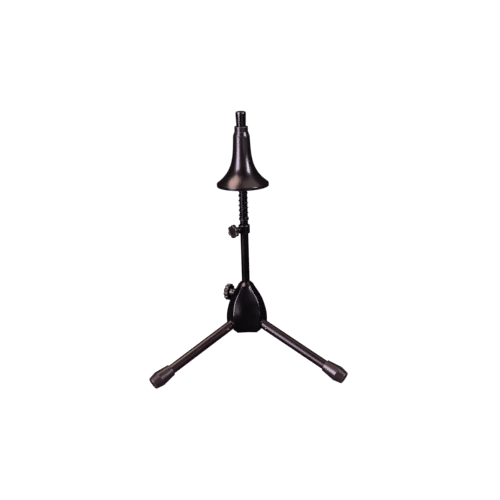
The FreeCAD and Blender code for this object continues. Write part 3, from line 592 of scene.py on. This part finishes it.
cone = grow("bell_cone", cone_tree(), **{
    "Neck radius": CONE_NECK_RADIUS, "Rim radius": cone_radius,
    "Top": cone_high.z, "Bottom": cone_low.z + CONE_BAND,
    "Straight share": CONE_STRAIGHT_SHARE, "Flare power": CONE_FLARE_POWER,
})
band_and_wall(cone, CONE_BAND, CONE_WALL, CONE_EDGE)
dress(cone, "cone", "cone_plastic", "cone_shell")
neck_floor = cone_high.z - CONE_FLOOR
core = lathe("cone_core", rounded([
    (BUSH_RADIUS, neck_floor, 0),
    (cone_side(neck_floor) - CONE_WALL / 2, neck_floor, 0),
    (cone_side(cone_high.z) - CONE_WALL / 2, cone_high.z, 0),
    (BUSH_RADIUS, cone_high.z, 0),
]))
dress(core, "cone", "cone_plastic")
print("rim radius", round(cone_radius, 4), "and radius half way down", round(cone_side(0.42), 4))

# %% [markdown]
# The ring on the cone's neck guides the bell's throat. It is turned by the lathe with a soft edge. Its
# wear is real: this is the edge that the bell slides over each time the trumpet is put down.

# %% Guide ring
GUIDE_BEVEL = 8 * MM
ring_low, ring_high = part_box("cone_ring")
guide_radius = next(m for m in frame["record"]["mounts"] if m["name"] == "bell_guide")["dims"]["r_mm"] * MM
guide = lathe("guide_ring", rounded([
    (BUSH_RADIUS, ring_low.z, 0),
    (ring_high.x, ring_low.z, 0.5 * MM),
    (guide_radius, ring_low.z + GUIDE_BEVEL, 2.0 * MM),
    (guide_radius, ring_high.z, 1.1 * MM),
    (BUSH_RADIUS, ring_high.z, 0.3 * MM),
    (BUSH_RADIUS, ring_low.z, 0),
])[:-1])
dress(guide, "cone", "cone_plastic", "cone_ring")

# %% [markdown]
# ## The spring
#
# A coil spring is a circle swept along a helix. Its two end coils lie flat, as on any compression
# spring, so that it stands square on its seat: the tree changes the helix's rise over the first and the
# last turn. When the cone is pushed down, the whole coil flattens with it.

# %% Spring
SPRING_WIRE = 1.5 * MM
SPRING_PITCH = 9.6 * MM
spring_low, spring_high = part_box("cone_spring")


def spring_tree():
    """A wire swept along a helix whose first and last turn lie flat."""
    tree, sizes = new_tree("coil_spring", {
        "Coil radius": ("Float", 0.009), "Wire radius": ("Float", 0.00075),
        "Height": ("Float", 0.12), "Turns": ("Float", 12.0), "Base": ("Float", 0.3),
    })
    feeds = {"Resolution": 40, "Rotations": sizes["Turns"], "Start Radius": sizes["Coil radius"],
             "End Radius": sizes["Coil radius"], "Height": sizes["Height"]}
    helix = add(tree, "GeometryNodeCurveSpiral", feeds).outputs[0]
    share = add(tree, "GeometryNodeSplineParameter").outputs["Factor"]
    one_turn = maths(tree, "DIVIDE", 1.0, sizes["Turns"])
    thickness = maths(tree, "MULTIPLY", sizes["Wire radius"], 2.0)
    open_rise = maths(tree, "MULTIPLY_ADD", thickness, -2.0, sizes["Height"])
    last_turn = maths(tree, "SUBTRACT", 1.0, one_turn)
    rise = sizes["Base"]
    stretches = (
        (0.0, one_turn, thickness),
        (one_turn, last_turn, open_rise),
        (last_turn, 1.0, thickness),
    )
    for start, end, amount in stretches:
        feeds = {"Value": share, "From Min": start, "From Max": end, "To Min": 0.0, "To Max": amount}
        rise = maths(tree, "ADD", rise, add(tree, "ShaderNodeMapRange", feeds).outputs[0])
    flat = add(tree, "ShaderNodeSeparateXYZ", {0: add(tree, "GeometryNodeInputPosition").outputs[0]})
    feeds = {"X": flat.outputs["X"], "Y": flat.outputs["Y"], "Z": rise}
    place = add(tree, "ShaderNodeCombineXYZ", feeds).outputs[0]
    raised = add(tree, "GeometryNodeSetPosition", {"Geometry": helix, "Position": place}).outputs[0]
    wire = add(tree, "GeometryNodeCurvePrimitiveCircle", {"Resolution": 12, "Radius": sizes["Wire radius"]})
    feeds = {"Curve": raised, "Profile Curve": wire.outputs[0], "Fill Caps": True}
    coil = add(tree, "GeometryNodeCurveToMesh", feeds).outputs[0]
    close_tree(tree, coil, FINISHES["spring_steel"])
    return tree


spring_height = spring_high.z - spring_low.z - SPRING_WIRE
spring = grow("coil_spring", spring_tree(), **{
    "Coil radius": spring_high.x - SPRING_WIRE / 2, "Wire radius": SPRING_WIRE / 2,
    "Height": spring_height, "Turns": (spring_height - 2 * SPRING_WIRE) / SPRING_PITCH + 2,
    "Base": spring_low.z + SPRING_WIRE / 2,
})
dress(spring, "rod", "spring_steel", "cone_spring")
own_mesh(spring)

# %% [markdown]
# ## Collar and clamp screws
#
# Each clamp screw is a hand knob on a threaded stud, which goes through a boss. The knobs are moulded,
# with lobes for the fingers and a ring-shaped recess in the back, where the mould keeps the wall thin.
# The lathe makes them too: while it spins the outline, a lobe function draws the rim in between the
# fingers and fades to nothing towards the middle. The frame's joints give each screw's place and axis.

# %% Places of the clamp screws
joints = {joint["name"]: joint for joint in frame["joints"]}


def screw_place(joint_name):
    """A place whose Z axis is a clamp screw's axis and whose origin is on the post's axis."""
    joint = joints[joint_name]
    axis = Vector(joint["axis"]).normalized()
    across = Vector((0, 0, 1)).cross(axis)
    turn = Matrix((across, axis.cross(across), axis)).transposed().to_4x4()
    return Matrix.Translation(joint["pos_m"]) @ turn


def reach(node_name, place):
    """How far a node runs along a place's axis."""
    inverse = place.inverted()
    along = [(inverse @ vertex.co).z for vertex in frame["nodes"][node_name].data.vertices]
    return min(along), max(along)


# %% Knobs
KNOB_RIM_WALL = 3.2 * MM
KNOB_RECESS_DEPTH = 3.0 * MM
KNOB_STUD_DEPTH = 6.0 * MM
KNOB_DISH_DEPTH = 0.7 * MM
LOBE_TOP_SHARE = 0.18
LOBE_BULGE = 0.9
KNOB_SEGMENTS = 192


def lobes_of(count, depth, inner, outer):
    """The lobe function of a knob: how far the rim is drawn in at an angle."""
    def lobe(angle, across, along):
        share = min(1.0, max(0.0, (across - inner) / (outer - inner)))
        wave = (1 - math.cos(count * (angle - math.pi / 2))) / 2
        valley = max(0.0, wave - LOBE_TOP_SHARE) / (1 - LOBE_TOP_SHARE)
        return depth * share * share * (3 - 2 * share) * valley ** LOBE_BULGE
    return lobe


def hand_knob(name, joint_name, node, body, radius, boss, stud, count, depth, boss_length):
    """A knob with its boss, lobed rim, recessed back and shallow dish in its face."""
    place = screw_place(joint_name)
    back, face = reach(node, place)
    rim = back + boss_length
    recess_outer = radius - depth - KNOB_RIM_WALL
    recess_inner = boss + 1.0 * MM
    blind_end = rim + KNOB_STUD_DEPTH
    recess_floor = rim + KNOB_RECESS_DEPTH
    dish = face - KNOB_DISH_DEPTH
    outline = rounded([
        (0, blind_end, 0),
        (stud, blind_end, 0),
        (stud, back, 0.3 * MM),
        (boss, back, 0.7 * MM),
        (recess_inner, recess_floor, 0.5 * MM),
        (recess_outer, recess_floor, 0.5 * MM),
        (recess_outer + 0.3 * MM, rim, 0.5 * MM),
        (radius, rim, 1.3 * MM),
        (radius, face, 1.5 * MM),
        (radius - 4.6 * MM, face, 0.6 * MM),
        (radius - 5.4 * MM, dish, 0.6 * MM),
        (0, dish, 0),
    ])
    lobe = lobes_of(count, depth, recess_outer + 0.6 * MM, radius - 0.4 * MM)
    knob = lathe(name, outline, place, turns=KNOB_SEGMENTS, closed=False, lobe=lobe)
    dress(knob, body, "knob_plastic", node)


HUB_STUD = 4.0 * MM
COLLAR_STUD = 3.0 * MM
hand_knob("hub_knob", "hub_knob_turn", "hub_clamp_knob", "hub_knob",
          16.5 * MM, 8.0 * MM, HUB_STUD, 12, 1.7 * MM, 6.0 * MM)
hand_knob("collar_knob", "collar_knob_turn", "collar_clamp_knob", "collar_knob",
          13.0 * MM, 5.0 * MM, COLLAR_STUD, 6, 2.2 * MM, 4.0 * MM)

# %% [markdown]
# A screw thread is a ridge that follows a helix, so one small tree cuts both studs: a core rod with a
# pointed ridge wound round it at the thread's own pitch.

# %% Threaded studs
def thread_tree():
    """A rod with a ridge wound round it, along the Z axis."""
    tree, sizes = new_tree("threaded_rod", {
        "Radius": ("Float", 0.004), "Pitch": ("Float", 0.00125), "Length": ("Float", 0.02),
    })
    depth = maths(tree, "MULTIPLY", sizes["Pitch"], 0.55)
    core_radius = maths(tree, "SUBTRACT", sizes["Radius"], depth)
    turns = maths(tree, "SUBTRACT", maths(tree, "DIVIDE", sizes["Length"], sizes["Pitch"]), 1.0)
    rise = maths(tree, "SUBTRACT", sizes["Length"], sizes["Pitch"])
    feeds = {"Resolution": 32, "Rotations": turns, "Start Radius": core_radius,
             "End Radius": core_radius, "Height": rise}
    helix = add(tree, "GeometryNodeCurveSpiral", feeds).outputs[0]
    lift = maths(tree, "MULTIPLY", sizes["Pitch"], 0.5)
    start = add(tree, "ShaderNodeCombineXYZ", {"Z": lift}).outputs[0]
    lifted = add(tree, "GeometryNodeTransform", {"Geometry": helix, "Translation": start}).outputs[0]
    point = add(tree, "GeometryNodeCurvePrimitiveCircle", {"Resolution": 4, "Radius": depth}).outputs[0]
    feeds = {"Curve": lifted, "Profile Curve": point, "Fill Caps": True}
    ridge = add(tree, "GeometryNodeCurveToMesh", feeds).outputs[0]
    feeds = {"Vertices": 48, "Radius": core_radius, "Depth": sizes["Length"]}
    core = add(tree, "GeometryNodeMeshCylinder", feeds).outputs["Mesh"]
    half_length = maths(tree, "MULTIPLY", sizes["Length"], 0.5)
    middle = add(tree, "ShaderNodeCombineXYZ", {"Z": half_length}).outputs[0]
    core = add(tree, "GeometryNodeTransform", {"Geometry": core, "Translation": middle}).outputs[0]
    joined = add(tree, "GeometryNodeJoinGeometry")
    tree.links.new(core, joined.inputs[0])
    tree.links.new(ridge, joined.inputs[0])
    close_tree(tree, joined.outputs[0], FINISHES["zinc_steel"])
    return tree


stud_maker = thread_tree()
for clamp, stud_radius, pitch in (("hub", HUB_STUD, 1.25 * MM), ("collar", COLLAR_STUD, 1.0 * MM)):
    stud_place = screw_place(clamp + "_knob_turn")
    stud_start, stud_end = reach(clamp + "_clamp_stud", stud_place)
    stud = grow(clamp + "_stud", stud_maker, Radius=stud_radius, Pitch=pitch, Length=stud_end - stud_start)
    stud.data.transform(stud_place @ Matrix.Translation((0, 0, stud_start)))
    dress(stud, clamp + "_knob", "zinc_steel", clamp + "_clamp_stud")

# %% [markdown]
# The collar and the neck ring are plain turned rings. The collar has a short boss at its side, turned
# about the clamp screw's own axis, which the frame's joint gives.

# %% Collar and neck ring
COLLAR_RADIUS = 11.2 * MM
COLLAR_BOSS = 6.5 * MM
COLLAR_BOSS_END = 18.0 * MM
COLLAR_INSERT = 4.5 * MM
collar_low, collar_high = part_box("post_collar")
collar = lathe("collar", rounded([
    (TUBE_RADIUS, collar_low.z, 0),
    (COLLAR_RADIUS, collar_low.z, 1.4 * MM),
    (COLLAR_RADIUS, collar_high.z, 1.4 * MM),
    (TUBE_RADIUS, collar_high.z, 0),
]))
dress(collar, "post", "collar_plastic", "post_collar")
collar_boss = lathe("collar_boss", rounded([
    (COLLAR_INSERT, TUBE_RADIUS + 1 * MM, 0),
    (COLLAR_BOSS, TUBE_RADIUS + 1 * MM, 0),
    (COLLAR_BOSS, COLLAR_BOSS_END, 0.9 * MM),
    (COLLAR_INSERT, COLLAR_BOSS_END, 0),
]), screw_place("collar_knob_turn"), turns=64)
dress(collar_boss, "post", "collar_plastic")

NECK_SPIGOT = 11.0 * MM
NECK_LOW = 15.5 * MM
NECK_HIGH = 10.8 * MM
NECK_LIP = 1.0 * MM
NECK_HEIGHT = 6.0 * MM
GUIDE_RADIUS = 8.06 * MM
neck_low, neck_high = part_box("neck_ring")
neck_seat = neck_high.z - NECK_HEIGHT
neck = lathe("neck_ring", rounded([
    (GUIDE_RADIUS, neck_low.z, 0),
    (NECK_SPIGOT, neck_low.z, 0.3 * MM),
    (NECK_SPIGOT, neck_seat, 0),
    (NECK_LOW, neck_seat, 0.3 * MM),
    (NECK_LOW, neck_seat + NECK_LIP, 0.4 * MM),
    (NECK_HIGH, neck_high.z, 0.9 * MM),
    (GUIDE_RADIUS, neck_high.z, 0.4 * MM),
    (GUIDE_RADIUS, neck_low.z, 0),
])[:-1])
dress(neck, "hub", "neck_plastic", "neck_ring")

# %% [markdown]
# ## Legs
#
# A leg is a steel tube with a rubber foot pulled over its end. The foot is two tapers that meet at a
# wide belt, and the ground has pressed a small flat on its lowest edge, so any point of its mesh that would
# be under the floor is raised to it. The rivets through the leg's top repeat, so a small tree makes a
# pair of heads once for each leg.

# %% Leg places
LEG_SLOPE = math.radians(25.6)
LEG_REACH = 202 * MM
LEG_RADIUS = 9.5 * MM
LEG_WALL = 1.2 * MM
LEG_TUBE_START = 11 * MM
FOOT_WALL = 6 * MM
FOOT_LENGTH = 45.3 * MM
FOOT_TIP_LENGTH = 16.7 * MM
FOOT_MOUTH_RADIUS = 11.75 * MM
FOOT_BELT_RADIUS = 15.25 * MM
FOOT_TIP_RADIUS = 12.0 * MM
RIVET_PLACE = 21 * MM
RIVET_HEAD_HEIGHT = 0.9 * MM


def leg_place(side):
    """A place with its origin at a leg's pivot, its Z axis down the leg and its X axis along the pin."""
    pivot = Vector(joints[side + "_leg_fold"]["pos_m"])
    outward = Vector((pivot.x, pivot.y, 0)).normalized()
    down_leg = outward * math.cos(LEG_SLOPE) - Vector((0, 0, math.sin(LEG_SLOPE)))
    pin = Vector((0, 0, 1)).cross(outward)
    turn = Matrix((pin, down_leg.cross(pin), down_leg)).transposed().to_4x4()
    return Matrix.Translation(pivot) @ turn


# %% Rivets, tubes and feet
def rivet_tree():
    """Two low domed heads on opposite sides of a tube, along the X axis."""
    tree, sizes = new_tree("rivet_heads", {
        "Head radius": ("Float", 0.0032), "Head height": ("Float", 0.0009), "Grip": ("Float", 0.019),
    })
    feeds = {"Segments": 24, "Rings": 12, "Radius": 1.0}
    ball = add(tree, "GeometryNodeMeshUVSphere", feeds).outputs["Mesh"]
    feeds = {"X": maths(tree, "MULTIPLY", sizes["Head height"], 2.0),
             "Y": sizes["Head radius"], "Z": sizes["Head radius"]}
    size = add(tree, "ShaderNodeCombineXYZ", feeds).outputs[0]
    head = add(tree, "GeometryNodeTransform", {"Geometry": ball, "Scale": size}).outputs[0]
    sunk = maths(tree, "MULTIPLY", sizes["Head height"], -1.0)
    half = maths(tree, "MULTIPLY_ADD", sizes["Grip"], 0.5, sunk)
    start = add(tree, "ShaderNodeCombineXYZ", {"X": maths(tree, "MULTIPLY", half, -1.0)}).outputs[0]
    step = add(tree, "ShaderNodeCombineXYZ", {"X": maths(tree, "MULTIPLY", half, 2.0)}).outputs[0]
    feeds = {"Count": 2, "Start Location": start, "Offset": step}
    spots = add(tree, "GeometryNodeMeshLine", feeds).outputs[0]
    heads = add(tree, "GeometryNodeInstanceOnPoints", {"Points": spots, "Instance": head}).outputs[0]
    close_tree(tree, heads, FINISHES["rivet_steel"])
    return tree


def leg_foot(name, place):
    """The rubber foot, flattened where it stands."""
    mouth = LEG_REACH - FOOT_LENGTH
    foot = lathe(name, rounded([
        (0, LEG_REACH - FOOT_WALL, 0),
        (LEG_RADIUS, LEG_REACH - FOOT_WALL, 0),
        (LEG_RADIUS, mouth, 0.4 * MM),
        (FOOT_MOUTH_RADIUS, mouth, 0.9 * MM),
        (FOOT_BELT_RADIUS, LEG_REACH - FOOT_TIP_LENGTH, 1.2 * MM),
        (FOOT_TIP_RADIUS, LEG_REACH, 1.7 * MM),
        (0, LEG_REACH, 0),
    ]), place, closed=False)
    for vertex in foot.data.vertices:
        vertex.co.z = max(vertex.co.z, 0.0)
    return foot


rivet_maker = rivet_tree()
for side in ("left", "right", "rear"):
    place = leg_place(side)
    tube_start, tube_end = LEG_TUBE_START, LEG_REACH - FOOT_WALL
    tube = lathe(side + "_tube", rounded([
        (LEG_RADIUS - LEG_WALL, tube_start, 0.2 * MM),
        (LEG_RADIUS, tube_start, 0.4 * MM),
        (LEG_RADIUS, tube_end, 0.3 * MM),
        (LEG_RADIUS - LEG_WALL, tube_end, 0.2 * MM),
    ]), place)
    dress(tube, side + "_leg", "leg_tube", side + "_leg_tube")
    dress(leg_foot(side + "_foot", place), side + "_leg", "foot_rubber", side + "_leg_foot")
    rivets = grow(side + "_rivet", rivet_maker, Grip=2 * LEG_RADIUS + 2 * RIVET_HEAD_HEIGHT)
    rivets.data.transform(place @ Matrix.Translation((0, 0, RIVET_PLACE)))
    dress(rivets, side + "_leg", "rivet_steel", side + "_leg_rivet")
